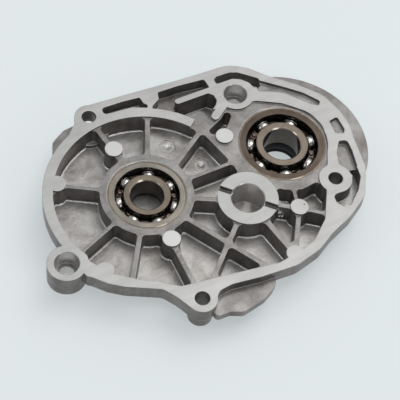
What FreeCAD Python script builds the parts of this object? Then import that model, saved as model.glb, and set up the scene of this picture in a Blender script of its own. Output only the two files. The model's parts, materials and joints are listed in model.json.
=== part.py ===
import FreeCAD, Part
import math
import os
import Sketcher

# Gearbox housing of a small scooter, with its two ball bearings and the oil seal of the wheel axle.
# Millimetres. The machined mating face lies in the plane z = 0 and faces up, the outer side faces
# down. The wheel axle turns about the z axis, and the input shaft about a line at negative x.

os.makedirs("parts", exist_ok=True)
doc = FreeCAD.newDocument("gearbox_housing")
V = FreeCAD.Vector
UP = V(0, 0, 1)

# ---------------------------------------------------------------- driving sizes

SIZES = [
    # shaft centres, all from the wheel axle
    ("bearing_spacing", 68.57),
    ("boss_x", -28.7),
    ("boss_y", -20.4),
    # heights below the mating face
    ("land_drop", 1.2),
    ("floor_drop", 11.0),
    ("shelf_drop", 8.0),
    ("slot_drop", 6.0),
    ("upper_shelf_drop", 4.0),
    ("flange_depth", 8.0),
    ("outer_face_drop", 15.0),
    ("disc_edge_drop", 4.0),
    ("rest_drop", 20.5),
    ("boss_cap_drop", 18.5),
    ("bearing_drop", 1.4),
    ("lug_drop", 5.0),
    ("lug_thickness", 4.0),
    ("swelling_drop", 6.0),
    ("foot_drop", 9.0),
    # walls and fillets
    ("hub_wall", 3.5),
    ("rib_width", 2.2),
    ("thin_rib_width", 1.6),
    ("corner_radius", 1.8),
    ("slot_corner_radius", 1.1),
    ("floor_fillet", 1.0),
    ("chamber_inset", 4.2),
    ("mark_depth", 0.4),
    # flange and brake disc
    ("flange_arc_radius", 46.2),
    ("cavity_arc_radius", 41.5),
    ("disc_radius", 40.2),
    ("right_edge_radius", 33.4),
    # countershaft boss
    ("boss_radius", 13.7),
    ("shaft_bore_radius", 7.5),
    ("shaft_bore_depth", 15.0),
    ("bore_chamfer", 0.4),
    ("oil_groove_width", 2.8),
    ("oil_groove_depth", 2.5),
    ("oil_groove_angle", 134.0),
    # bolts, dowels and pusher pads
    ("bolt_hole_radius", 3.35),
    ("bolt_boss_radius", 6.6),
    ("inner_boss_radius", 7.6),
    ("lower_boss_wall", 2.1),
    ("bolt_foot_radius", 9.8),
    ("bolt_boss_drop", 15.0),
    ("dowel_radius", 5.4),
    ("dowel_depth", 9.0),
    ("dowel_boss_wall", 3.3),
    ("dowel_boss_floor", 3.0),
    ("pad_radius", 4.05),
    # bearings: 6202 on the input shaft, 6203 on the wheel axle
    ("input_outer_radius", 17.5),
    ("input_bore_radius", 7.5),
    ("input_width", 11.0),
    ("axle_outer_radius", 20.0),
    ("axle_bore_radius", 8.5),
    ("axle_width", 12.0),
    ("ball_count", 7),
    ("ball_share", 0.2955),
    ("shoulder_share", 0.7),
    ("ring_chamfer", 0.6),
    ("race_clearance", 0.04),
    ("cage_sheet", 0.7),
    ("cage_band_share", 0.88),
    ("pocket_clearance", 0.15),
    ("rivet_radius", 0.55),
    ("rivet_head_radius", 0.95),
    ("rivet_head_height", 0.45),
    # oil seal of the axle
    ("seal_radius", 16.0),
    ("seal_width", 6.0),
    ("seal_shelf", 0.8),
    ("seal_lip_radius", 8.4),
    ("garter_radius", 0.7),
    ("garter_seat", 2.2),
    ("garter_drop", 2.0),
    ("relief_depth", 2.6),
    ("relief_step", 4.5),
]

sheet = doc.addObject("Spreadsheet::Sheet", "sizes")
for row, (alias, value) in enumerate(SIZES, start=1):
    sheet.set(f"A{row}", alias)
    sheet.set(f"B{row}", str(value))
    sheet.setAlias(f"B{row}", alias)
doc.recompute()


def size(alias):
    """A driving size, as a number."""
    return float(sheet.get(alias))


AXLE = V(0, 0, 0)
INPUT = V(-size("bearing_spacing"), 0, 0)
BOSS = V(size("boss_x"), size("boss_y"), 0)
CENTRES = {"input": INPUT, "axle": AXLE}
# the bolt bosses, dowel bosses and pusher pads keep their distance from the bearing beside them
BOLTS = {
    "upper_bolt": INPUT + V(-6.6, 47.8, 0),
    "lower_bolt": INPUT + V(-1.6, -57.2, 0),
    "inner_bolt": AXLE + V(12.6, -27.2, 0),
}
DOWELS = {
    "left_dowel": INPUT + V(-46.8, -18.2, 0),
    "right_dowel": AXLE + V(-7.3, 32.8, 0),
}
PADS = [
    INPUT + V(-3.6, 27.3, 0),
    INPUT + V(-0.5, -25.4, 0),
    BOSS + V(5.9, 34.15, 0),
    AXLE + V(-9.8, -33.8, 0),
]
EDGE_PADS = [
    INPUT + V(-34.4, 20.5, 0),
    INPUT + V(-33.4, -28.0, 0),
    AXLE + V(-44.5, 46.3, 0),
    AXLE + V(-23.0, -54.0, 0),
]

# ---------------------------------------------------------------- plane geometry


def polar(centre, radius, degrees):
    """The point at a radius and an angle about a centre."""
    turn = math.radians(degrees)
    return centre + V(radius * math.cos(turn), radius * math.sin(turn), 0)


def disc(centre, radius):
    """A round face in the plane z = 0."""
    return Part.Face(Part.Wire(Part.Circle(centre, UP, radius).toShape()))


def strip(start, end, width):
    """A straight band of the given width between two points."""
    along = end - start
    side = V(-along.y, along.x, 0).normalize() * (width / 2)
    return Part.Face(Part.makePolygon([start + side, start - side, end - side, end + side, start + side]))


def rounded_loop(corners):
    """A closed wire through (point, radius) corners, each rounded by an arc of its radius."""
    edges = []
    joints = []
    count = len(corners)
    for i, (point, radius) in enumerate(corners):
        back = (corners[i - 1][0] - point).normalize()
        ahead = (corners[(i + 1) % count][0] - point).normalize()
        half = back.getAngle(ahead) / 2
        if radius <= 0 or abs(half - math.pi / 2) < 1e-4:
            joints.append((point, point, None))
            continue
        reach = radius / math.tan(half)
        middle = (back + ahead).normalize() * (radius / math.sin(half) - radius)
        joints.append((point + back * reach, point + ahead * reach, point + middle))
    for i, (enter, leave, middle) in enumerate(joints):
        if middle is not None:
            edges.append(Part.Arc(enter, middle, leave).toShape())
        following = joints[(i + 1) % count][0]
        if leave.distanceToPoint(following) > 1e-6:
            edges.append(Part.LineSegment(leave, following).toShape())
    return Part.Wire(edges)


def outline(anchor, corners):
    """A face whose corners are given as (x, y, rounding radius) from an anchor point."""
    return Part.Face(rounded_loop([(anchor + V(x, y, 0), r) for x, y, r in corners]))


def soften(face, radius):
    """The same region with its outward corners rounded to a radius, as separate faces."""
    return face.makeOffset2D(-radius, 0).makeOffset2D(radius, 0).Faces


# ---------------------------------------------------------------- sketches and features


def plane_of(body, role):
    """One of the body's own origin planes, by its role."""
    for feature in body.Origin.OriginFeatures:
        if feature.Role == role:
            return feature


def sketch_at(body, name, height="0", role="XY_Plane"):
    """A sketch on one of the body's own planes, with its height bound to the sheet."""
    sketch = body.newObject("Sketcher::SketchObject", name)
    sketch.AttachmentSupport = (plane_of(body, role), [""])
    sketch.MapMode = "FlatFace"
    if height != "0":
        sketch.setExpression("AttachmentOffset.Base.z", height)
    return sketch


def add_wire(sketch, wire):
    """Draws the lines and arcs of a wire in a sketch."""
    for edge in wire.Edges:
        curve = edge.Curve
        if curve.TypeId == "Part::GeomCircle":
            whole = abs(edge.LastParameter - edge.FirstParameter - 2 * math.pi) < 1e-6
            piece = curve if whole else Part.ArcOfCircle(curve, edge.FirstParameter, edge.LastParameter)
        else:
            piece = Part.LineSegment(edge.Vertexes[0].Point, edge.Vertexes[-1].Point)
        sketch.addGeometry(piece, False)


def add_round(sketch, centre, radius):
    """Draws a circle whose radius is bound to the sheet."""
    number = sketch.addGeometry(Part.Circle(centre, UP, 1.0), False)
    constraint = sketch.addConstraint(Sketcher.Constraint("Radius", number, size_of(radius)))
    sketch.setExpression(f"Constraints[{constraint}]", radius)
    x = sketch.addConstraint(Sketcher.Constraint("DistanceX", -1, 1, number, 3, centre.x))
    y = sketch.addConstraint(Sketcher.Constraint("DistanceY", -1, 1, number, 3, centre.y))
    return number, x, y


def size_of(expression):
    """The present value of an expression in sheet sizes."""
    names = {alias: size(alias) for alias, _ in SIZES}
    text = expression.replace("sizes.", "")
    total = 0.0
    for term in text.replace("-", "+-").split("+"):
        if term.strip():
            sign = -1.0 if term.strip().startswith("-") else 1.0
            word = term.strip().lstrip("-").strip()
            total += sign * (names[word] if word in names else float(word))
    return total


def pad_down(body, sketch, name, length):
    """A pad from the sketch away from the mating face."""
    pad = body.newObject("PartDesign::Pad", name)
    pad.Profile = sketch
    pad.Reversed = True
    pad.setExpression("Length", length)
    return pad


# ---------------------------------------------------------------- the casting's outside


def flange_face():
    """The flange's outer edge: arcs about the bearings, joined by the runs along the bolts."""
    left_arc = disc(INPUT, size("flange_arc_radius"))
    right_arc = disc(AXLE, size("right_edge_radius"))
    run = outline(
        AXLE,
        [
            (28.4, -27.4, 8), (31.5, -11.0, 20), (33.6, 3.0, 14), (30.4, 16.0, 14), (22.0, 26.2, 10),
            (12.2, 35.6, 8), (5.2, 43.9, 12), (-2.4, 49.3, 16), (-30.0, 50.6, 20), (-55.0, 52.6, 20),
            (-73.0, 53.9, 6), (-80.0, 51.8, 4), (-83.0, 46.6, 3), (-87.0, 42.8, 3), (-100.0, 20.0, 3),
            (-100.0, -10.0, 3), (-112.0, -26.5, 3), (-108.6, -28.6, 5), (-103.6, -34.3, 8),
            (-97.6, -38.8, 8), (-83.4, -46.4, 5), (-79.6, -52.4, 5), (-75.6, -61.2, 3),
            (-65.0, -60.0, 2), (-61.4, -56.8, 4), (-55.0, -56.3, 10), (-42.0, -58.3, 14),
            (-25.0, -59.6, 12), (-12.0, -56.6, 10), (-3.0, -51.8, 10), (9.0, -47.3, 10),
            (20.4, -40.6, 8),
        ],
    )
    bosses = [disc(BOLTS[name], size("bolt_boss_radius")) for name in ("upper_bolt", "lower_bolt")]
    bosses.append(disc(DOWELS["left_dowel"], size("dowel_radius") + size("dowel_boss_wall")))
    return run.fuse([left_arc, right_arc] + bosses).removeSplitter().Faces[0]


def cavity_face():
    """The opening inside the flange, before the bosses and ribs are left standing in it."""
    left = disc(INPUT, size("cavity_arc_radius"))
    run = outline(
        AXLE,
        [
            (-70.0, 41.4, 1), (-95.0, 10.0, 1), (-95.0, -10.0, 1), (-105.8, -14.0, 1.5),
            (-106.2, -21.4, 2), (-99.0, -31.5, 3), (-90.0, -38.6, 5), (-84.3, -41.8, 5),
            (-75.8, -48.3, 4), (-58.0, -51.0, 14), (-31.4, -55.3, 5), (-18.4, -53.6, 5),
            (-12.0, -51.6, 5), (-2.4, -44.0, 5), (5.8, -31.0, 1.5), (6.2, -23.0, 3),
            (12.8, -19.4, 4), (19.2, -8.0, 12), (21.6, 0.5, 10), (19.6, 9.8, 12), (10.4, 19.4, 12),
            (-0.4, 25.6, 2), (-7.3, 26.0, 1), (-13.5, 28.5, 1), (-22.5, 29.0, 1), (-33.0, 29.5, 1),
            (-36.0, 29.0, 1), (-60.0, 38.0, 1),
        ],
    )
    return left.fuse(run).removeSplitter().Faces[0]


def make_blank():
    """The outer form of the casting, before its cavities are cored."""
    body = doc.addObject("PartDesign::Body", "housing_blank")
    flange_outline = flange_face()

    sketch = sketch_at(body, "flange_outline")
    add_wire(sketch, flange_outline.OuterWire)
    pad_down(body, sketch, "flange", "sizes.flange_depth")

    # the gear chamber's walls stand in from the flange's edge
    sketch = sketch_at(body, "chamber_outline", "-sizes.flange_depth")
    add_wire(sketch, flange_outline.makeOffset2D(-size("chamber_inset"), 0).Faces[0].OuterWire)
    pad_down(body, sketch, "chamber", "sizes.outer_face_drop - sizes.flange_depth")

    # the disc that closes the brake drum
    sketch = sketch_at(body, "disc_outline", "-sizes.disc_edge_drop")
    add_round(sketch, AXLE, "sizes.disc_radius")
    pad_down(body, sketch, "brake_disc", "sizes.outer_face_drop - sizes.disc_edge_drop")

    # what stands out on the outer side: both hubs, the countershaft's cap and the lower bolt's boss
    sketch = sketch_at(body, "hub_outlines", "-sizes.land_drop")
    number, x, _ = add_round(sketch, INPUT, "sizes.input_outer_radius + sizes.hub_wall")
    sketch.setExpression(f"Constraints[{x}]", "-sizes.bearing_spacing")
    add_round(sketch, AXLE, "sizes.axle_outer_radius + sizes.hub_wall")
    pad_down(body, sketch, "hubs", "sizes.rest_drop - sizes.land_drop")

    sketch = sketch_at(body, "boss_outline")
    number, x, y = add_round(sketch, BOSS, "sizes.boss_radius")
    sketch.setExpression(f"Constraints[{x}]", "sizes.boss_x")
    sketch.setExpression(f"Constraints[{y}]", "sizes.boss_y")
    pad_down(body, sketch, "shaft_boss", "sizes.boss_cap_drop")

    sketch = sketch_at(body, "bolt_boss_outlines", "-sizes.flange_depth")
    add_round(sketch, BOLTS["lower_bolt"], "sizes.bolt_hole_radius + sizes.lower_boss_wall")
    pad_down(body, sketch, "lower_boss", "sizes.bolt_boss_drop - sizes.flange_depth")

    sketch = sketch_at(body, "dowel_boss_outlines", "-sizes.flange_depth")
    add_round(sketch, DOWELS["left_dowel"], "sizes.dowel_radius + sizes.dowel_boss_wall")
    pad_down(body, sketch, "dowel_boss", "sizes.dowel_depth + sizes.dowel_boss_floor - sizes.flange_depth")

    # the stop lug below the lower edge and the swelling beside the upper bolt
    lug = outline(
        BOLTS["lower_bolt"],
        [
            (8.0, 5.0, 0), (36.0, 0.0, 0), (34.0, -4.4, 3), (31.0, -6.6, 3), (26.0, -9.0, 3),
            (15.0, -11.0, 4), (9.6, -8.4, 3), (3.0, -8.2, 2), (3.4, -2.0, 0),
        ],
    )
    sketch = sketch_at(body, "lug_outline", "-sizes.lug_drop")
    add_wire(sketch, lug.OuterWire)
    pad_down(body, sketch, "stop_lug", "sizes.lug_thickness")

    swelling = outline(
        BOLTS["upper_bolt"],
        [(-4.0, 0.0, 0), (-6.0, 2.0, 1), (-12.0, 1.4, 4), (-19.0, -2.6, 4), (-22.4, -8.6, 4), (-12.0, -12.0, 0)],
    )
    sketch = sketch_at(body, "swelling_outline", "-sizes.swelling_drop")
    add_wire(sketch, swelling.OuterWire)
    pad_down(body, sketch, "swelling", "sizes.outer_face_drop - sizes.swelling_drop")
    return body


# ---------------------------------------------------------------- the cored cavities


def make_core(name, face, top, bottom, fillet):
    """A core that leaves a cavity with a rounded floor, between two depths below the mating face."""
    solid = face.extrude(V(0, 0, -(bottom - top)))
    solid.translate(V(0, 0, -top))
    floor = [edge for edge in solid.Edges if edge.BoundBox.ZMax < -bottom + 1e-4]
    if fillet > 0:
        solid = solid.makeFillet(fillet, floor)
    return solid


def arc_strip():
    """The curved web between the input's chamber and the pockets beside it, with a round free end."""
    outer = size("flange_arc_radius")
    inner = size("cavity_arc_radius")
    first = 36.0
    reach = outer + 10.0
    wedge = Part.Face(Part.makePolygon([INPUT, polar(INPUT, reach, first), polar(INPUT, reach, 75.0),
                                        polar(INPUT, reach, 115.0), INPUT]))
    web = disc(INPUT, outer).cut(disc(INPUT, inner)).common(wedge)
    end = disc(polar(INPUT, (outer + inner) / 2, first), (outer - inner) / 2)
    return web.fuse(end).removeSplitter().Faces[0]


def finger(start, end, width):
    """A straight web whose free end is round."""
    return strip(start, end, width).fuse(disc(start, width / 2)).removeSplitter().Faces[0]


def webs():
    """The webs beside the upper pockets that reach up to the mating face."""
    dowel_web = finger(AXLE + V(-21.6, 25.2, 0), AXLE + V(-12.0, 31.5, 0), 3.9)
    cross_web = finger(AXLE + V(-33.8, 39.6, 0), AXLE + V(-14.0, 39.6, 0), 2.8)
    return [arc_strip(), dowel_web, cross_web]


def standing_faces():
    """What reaches up to the mating face inside the cavity."""
    dowel_boss = size("dowel_radius") + size("dowel_boss_wall")
    faces = [disc(BOSS, size("boss_radius"))]
    faces += [disc(place, size("pad_radius")) for place in PADS + EDGE_PADS]
    faces += [disc(BOLTS["inner_bolt"], size("inner_boss_radius"))]
    faces += [disc(BOLTS["upper_bolt"], size("bolt_boss_radius"))]
    faces += [disc(DOWELS["right_dowel"], dowel_boss), disc(DOWELS["left_dowel"], dowel_boss)]
    return faces + webs()


def land_cores():
    """The shallow drop of the ribs and hub lands below the mating face."""
    face = cavity_face().cut(standing_faces())
    return [make_core("land", piece, 0, size("land_drop"), 0) for piece in face.Faces]


def ribs():
    """The ribs as bands between the hubs, the boss and the flange."""
    wide = size("rib_width")
    thin = size("thin_rib_width")
    hub = size("input_outer_radius")
    far = 56.0
    spokes = [(149.5, thin, far), (97.8, wide, far), (64.2, wide, far), (-59.7, wide, far + 6.0),
              (-91.4, wide, far), (-124.0, wide, far), (201.5, thin, far)]
    bands = [strip(polar(INPUT, hub, angle), polar(INPUT, reach, angle), width)
             for angle, width, reach in spokes]
    junction = AXLE + V(-31.6, 20.9, 0)
    lower_pad = PADS[3]
    bands.append(strip(polar(INPUT, hub, 0), AXLE, thin))
    bands.append(strip(polar(INPUT, hub, -30.0), BOSS + V(0, -1.0, 0), wide))
    bands.append(strip(polar(INPUT, hub, 25.5), junction, wide))
    bands.append(strip(junction, AXLE + V(-34.0, 26.5, 0), wide))
    bands.append(strip(junction, AXLE + V(-19.0, 25.4, 0), thin))
    bands.append(strip(BOSS, polar(BOSS, 46.0, 222.0), wide))
    bands.append(strip(BOSS, AXLE + V(-23.5, -50.0, 0), wide + 0.4))
    bands.append(strip(lower_pad, AXLE + V(-6.3, -20.0, 0), thin))
    bands.append(strip(lower_pad, AXLE + V(-0.4, -41.0, 0), thin))
    bands.append(strip(lower_pad, AXLE + V(-22.9, -54.2, 0), wide))
    bands.append(strip(lower_pad, BOSS, wide))
    return bands


def axle_hub_land():
    """The flat land round the axle bearing."""
    return outline(
        AXLE,
        [(-26.1, -8.0, 0), (-26.1, 0.0, 3), (-27.0, 3.0, 3), (-30.4, 17.6, 2), (-31.6, 20.9, 0),
         (-33.4, 24.0, 0), (-35.0, 30.0, 0), (-7.0, 31.0, 0), (24.0, 30.0, 0), (24.0, -18.0, 0),
         (12.6, -20.0, 2), (5.6, -24.6, 3), (-3.6, -25.6, 3), (-11.0, -22.6, 4), (-15.6, -18.6, 3),
         (-22.0, -10.0, 0)],
    )


def sector_cores():
    """The deep pockets between the ribs: what the ribs, hubs, pads and bosses leave of the cavity."""
    hub = disc(INPUT, size("input_outer_radius") + size("hub_wall"))
    standing = standing_faces()
    left = cavity_face().cut([hub, axle_hub_land()] + standing + ribs())
    dowel_pocket = outline(
        AXLE,
        [(-28.1, 19.8, 0), (-19.6, 23.5, 0), (-15.0, 27.1, 0), (-12.5, 25.2, 0), (-17.1, 20.2, 0),
         (-19.6, 17.9, 0), (-27.1, 16.4, 0)],
    ).cut(standing)
    shallow = polar(INPUT, 32.0, 45.0)
    smallest = 20.0
    cores = []
    for region in left.Faces + dowel_pocket.Faces:
        if region.Area < smallest:
            continue
        for face in soften(region, size("corner_radius")):
            drop = size("floor_drop")
            if face.isInside(shallow, 0.01, True):
                drop = size("shelf_drop")
            cores.append(make_core("pocket", face, size("land_drop"), drop, size("floor_fillet")))
    return cores


def bolt_foot():
    """The foot of the upper bolt's boss, which stands on the pockets' floors."""
    foot = disc(BOLTS["upper_bolt"], size("bolt_foot_radius"))
    return make_core("foot", foot, size("foot_drop"), size("outer_face_drop"), 0)


def floor_marks():
    """The two shallow hexagons sunk in the pockets' floors, each with a dimple in its middle."""
    flats = 7.0
    lean = 20.0
    clear = 1.0
    dimple_radius = 3.0
    dimple_rise = 2.2
    marks = []
    for place, drop in ((AXLE + V(-35.8, 9.8, 0), "floor_drop"), (AXLE + V(-46.7, 23.4, 0), "shelf_drop")):
        corners = [polar(place, flats / math.sqrt(3), 60.0 * number + lean) for number in range(6)]
        hexagon = Part.Face(Part.makePolygon(corners + corners[:1]))
        depth = size(drop)
        bottom = depth + size("mark_depth")
        sunk = make_core("mark", hexagon, depth - clear, bottom, 0)
        dimple = Part.makeSphere(dimple_radius, place + V(0, 0, dimple_rise - bottom))
        marks.append(sunk.fuse(dimple))
    return marks


def upper_pocket_cores():
    """The stepped pocket by the upper edge: a long slot, a deep pocket and a shelf, joined at the left."""
    fingers = webs()
    long_slot = outline(
        AXLE,
        [(-40.3, 47.9, 1.2), (-30.0, 47.6, 6), (-17.0, 46.2, 1.1), (-16.7, 40.6, 0), (-33.8, 39.6, 0),
         (-33.8, 36.4, 0), (-38.0, 33.0, 0), (-47.4, 39.4, 0), (-45.6, 42.0, 0), (-41.4, 44.2, 1)],
    ).cut(fingers)
    deep = outline(
        AXLE,
        [(-36.4, 38.9, 0), (-34.0, 38.9, 0), (-19.0, 38.4, 1.8), (-16.9, 36.0, 1.2), (-16.9, 33.0, 1.2),
         (-18.5, 30.8, 1), (-21.5, 28.8, 0.8), (-22.0, 26.8, 0.6), (-23.4, 26.6, 0.4), (-23.7, 31.2, 1.4),
         (-25.0, 33.2, 1.4), (-36.8, 33.2, 0)],
    ).cut(fingers)
    shelf = outline(
        AXLE,
        [(-38.0, 34.4, 0), (-24.4, 34.4, 0), (-22.6, 31.0, 0), (-22.6, 27.0, 0), (-30.4, 24.0, 0)],
    ).cut(fingers)
    edge = 0.5
    steps = ((long_slot, size("slot_drop")), (deep, size("floor_drop")), (shelf, size("upper_shelf_drop")))
    cores = []
    for region, drop in steps:
        widest = max(region.Faces, key=lambda face: face.Area)
        for piece in soften(widest, edge):
            cores.append(make_core("step", piece, 0, drop, edge * 0.8))
    return cores


def slot_cores():
    """The weight-saving slots in the flange."""
    edge = size("slot_corner_radius")
    slots = [
        (size("slot_drop"), [(-68.0, 49.9, 1.8), (-58.0, 49.6, 6), (-49.2, 48.6, 0.8), (-48.9, 44.8, 1.5),
                             (-47.6, 43.2, 0.6), (-48.4, 41.8, 0.5), (-54.6, 44.8, 3), (-68.4, 46.2, 1.8)]),
        (7.0, [(-12.9, 41.3, edge), (-12.8, 44.2, edge), (-11.0, 45.3, 1.5), (-4.2, 45.1, 4),
               (-0.6, 43.6, 4), (6.9, 36.6, 1.2), (6.6, 33.4, 1.2), (2.6, 31.8, 1.2), (1.6, 36.2, 4),
               (-1.2, 39.4, 4), (-4.6, 41.2, 3)]),
        (1.8, [(5.4, 36.6, 1.2), (16.5, 26.6, 10), (22.4, 20.8, 8), (27.4, 13.4, 1.2), (25.6, 11.2, 1.2),
               (22.0, 14.0, 6), (14.6, 23.6, 8), (9.6, 26.9, 5), (3.0, 30.0, 1.2)]),
        (2.0, [(25.6, 1.6, 1), (30.2, 2.4, 1), (30.0, -5.2, 1.4), (28.6, -7.2, 1.2), (25.0, -5.6, 1)]),
        (3.0, [(24.2, -9.9, 1), (28.0, -11.0, 2), (27.2, -17.0, 8), (25.0, -25.6, 1), (20.0, -26.0, 1),
               (17.9, -20.8, 1), (20.0, -15.4, 4)]),
        (8.0, [(24.8, -25.2, 0.9), (23.6, -31.0, 4), (19.2, -36.6, 4), (12.0, -42.4, 2), (8.6, -42.0, 2),
               (6.6, -38.6, 2), (7.2, -34.6, 2), (12.6, -34.6, 0), (20.4, -29.0, 0), (19.6, -24.4, 1)]),
    ]
    boss = disc(BOLTS["inner_bolt"], size("inner_boss_radius"))
    cores = []
    for depth, corners in slots:
        face = outline(AXLE, corners).cut(boss).Faces[0]
        for piece in soften(face, 0.6):
            cores.append(make_core("slot", piece, 0, depth, 0.5))
    return cores


def bore_tools():
    """Turned tools for the bearing seats, the countershaft's bore, the bolts and the dowels."""
    through = size("rest_drop") + 2.0

    def turned(centre, profile):
        points = [centre + V(radius, 0, height) for radius, height in profile]
        return Part.Face(Part.makePolygon(points + points[:1])).revolve(centre, UP, 360)

    chamfer = size("bore_chamfer")
    top = -size("land_drop")
    seat = size("input_outer_radius")
    floor = -size("bearing_drop") - size("input_width")
    relief = seat - size("relief_step")
    tools = [turned(INPUT, [(0, 1), (seat + chamfer + 1, 1), (seat + chamfer, top),
                            (seat, top - chamfer), (seat, floor), (relief, floor),
                            (relief - 0.8, floor - size("relief_depth")), (0, floor - size("relief_depth"))])]
    seat = size("axle_outer_radius")
    floor = -size("bearing_drop") - size("axle_width")
    shelf = floor - size("seal_shelf")
    tools.append(turned(AXLE, [(0, 1), (seat + chamfer + 1, 1), (seat + chamfer, top), (seat, top - chamfer),
                               (seat, floor), (size("seal_radius") - 0.8, floor),
                               (size("seal_radius") - 0.8, shelf), (size("seal_radius"), shelf),
                               (size("seal_radius"), -through), (0, -through)]))
    bore = size("shaft_bore_radius")
    depth = -size("shaft_bore_depth")
    tools.append(turned(BOSS, [(0, 1), (bore + chamfer + 1, 1), (bore + chamfer, 0), (bore, -chamfer),
                               (bore, depth), (0, depth - 1.2)]))
    bolt = size("bolt_hole_radius")
    for place in BOLTS.values():
        tools.append(turned(place, [(0, 1), (bolt, 1), (bolt, -through), (0, -through)]))
    dowel = size("dowel_radius")
    for place in DOWELS.values():
        tools.append(turned(place, [(0, 1), (dowel + 1.3, 1), (dowel + 0.3, 0), (dowel, -0.3),
                                    (dowel, -size("dowel_depth")), (bolt, -size("dowel_depth")),
                                    (bolt, -through), (0, -through)]))
    return tools


def oil_groove():
    """The groove that crosses the countershaft boss and feeds its bore."""
    angle = size("oil_groove_angle")
    reach = size("boss_radius") + 1.0
    band = strip(polar(BOSS, reach, angle), polar(BOSS, -reach, angle), size("oil_groove_width"))
    return band.extrude(V(0, 0, -size("oil_groove_depth")))


def part_feature(name, shape, height="0 mm"):
    """Keeps a shape made from the sheet's sizes as an object of the document, at a bound height."""
    feature = doc.addObject("Part::Feature", name)
    feature.Shape = shape
    feature.Placement = FreeCAD.Placement()
    feature.setExpression("Placement.Base.z", height)
    return feature


def pitch_radius(prefix):
    """The radius of the circle of ball centres, halfway between the bearing's walls."""
    return (size(f"{prefix}_outer_radius") + size(f"{prefix}_bore_radius")) / 2


def ball_radius(prefix):
    """The ball's radius, a share of the room between the bearing's walls."""
    return size("ball_share") * (size(f"{prefix}_outer_radius") - size(f"{prefix}_bore_radius"))


def bearing_middle(prefix):
    """The height of a bearing's middle plane, for an expression."""
    return f"-sizes.bearing_drop - sizes.{prefix}_width / 2"


def joined(shapes):
    """Shapes that touch or cross, as one."""
    return shapes[0].fuse(shapes[1:])


def make_housing():
    """The casting: its outer form less the land, the pockets, the slots and the bores."""
    blank = make_blank()
    doc.recompute()
    pockets = joined(land_cores() + sector_cores()).cut(bolt_foot())
    tools = [
        part_feature("cavities", pockets),
        part_feature("upper_pocket", joined(upper_pocket_cores())),
        part_feature("slots", Part.makeCompound(slot_cores())),
        part_feature("marks", Part.makeCompound(floor_marks())),
        part_feature("bores", Part.makeCompound(bore_tools() + [oil_groove()])),
    ]
    base = blank
    for tool in tools:
        cut = doc.addObject("Part::Cut", "less_" + tool.Name)
        cut.Base = base
        cut.Tool = tool
        base = cut
    base.Label = "housing"
    return base


# ---------------------------------------------------------------- ball bearings


def ring_sketch(body, name, prefix, centre, outer):
    """Half the section of a bearing ring, with its raceway."""
    wide = size(f"{prefix}_width")
    top = -size("bearing_drop")
    middle = top - wide / 2
    ball = ball_radius(prefix)
    pitch = pitch_radius(prefix)
    shoulder = ball * size("shoulder_share")
    race = ball * 1.04
    deepest = pitch + ball + size("race_clearance") if outer else pitch - ball - size("race_clearance")
    face = pitch + shoulder if outer else pitch - shoulder
    wall = size(f"{prefix}_outer_radius") if outer else size(f"{prefix}_bore_radius")
    chamfer = size("ring_chamfer")
    inward = -1 if outer else 1
    hub = deepest + inward * race
    half = math.sqrt(race ** 2 - (face - hub) ** 2)
    sketch = sketch_at(body, name, role="XZ_Plane")
    sketch.AttachmentOffset = FreeCAD.Placement(V(centre.x, 0, 0), FreeCAD.Rotation())
    low = top - wide
    points = [
        V(wall + inward * chamfer, top, 0), V(face, top, 0), V(face, middle + half, 0),
        V(face, middle - half, 0), V(face, low, 0), V(wall + inward * chamfer, low, 0),
        V(wall, low + chamfer, 0), V(wall, top - chamfer, 0),
    ]
    for number, (start, end) in enumerate(zip(points, points[1:] + points[:1])):
        if number == 2:
            sketch.addGeometry(Part.Arc(start, V(deepest, middle, 0), end), False)
        else:
            sketch.addGeometry(Part.LineSegment(start, end), False)
    return sketch


def make_ring(prefix, centre, outer):
    """One ring of a bearing, turned about its shaft."""
    name = f"{prefix}_{'outer' if outer else 'inner'}_ring"
    body = doc.addObject("PartDesign::Body", name)
    sketch = ring_sketch(body, name + "_section", prefix, centre, outer)
    turn = body.newObject("PartDesign::Revolution", name + "_turned")
    turn.Profile = sketch
    turn.ReferenceAxis = (sketch, ["V_Axis"])
    turn.Angle = 360
    return body


def make_balls(prefix, first_angle):
    """The balls, evenly spaced on the pitch circle."""
    count = int(size("ball_count"))
    balls = []
    outer, bore = f"sizes.{prefix}_outer_radius", f"sizes.{prefix}_bore_radius"
    middle = "-sizes.bearing_spacing" if prefix == "input" else "0"
    for number in range(count):
        angle = first_angle + 360.0 * number / count
        ball = doc.addObject("Part::Sphere", f"{prefix}_ball_{number + 1}")
        ball.setExpression("Radius", f"sizes.ball_share * ({outer} - {bore})")
        ball.setExpression("Placement.Base.x", f"{middle} + ({outer} + {bore}) / 2 * cos({angle})")
        ball.setExpression("Placement.Base.y", f"({outer} + {bore}) / 2 * sin({angle})")
        ball.setExpression("Placement.Base.z", bearing_middle(prefix))
        balls.append(ball)
    return balls


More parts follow.
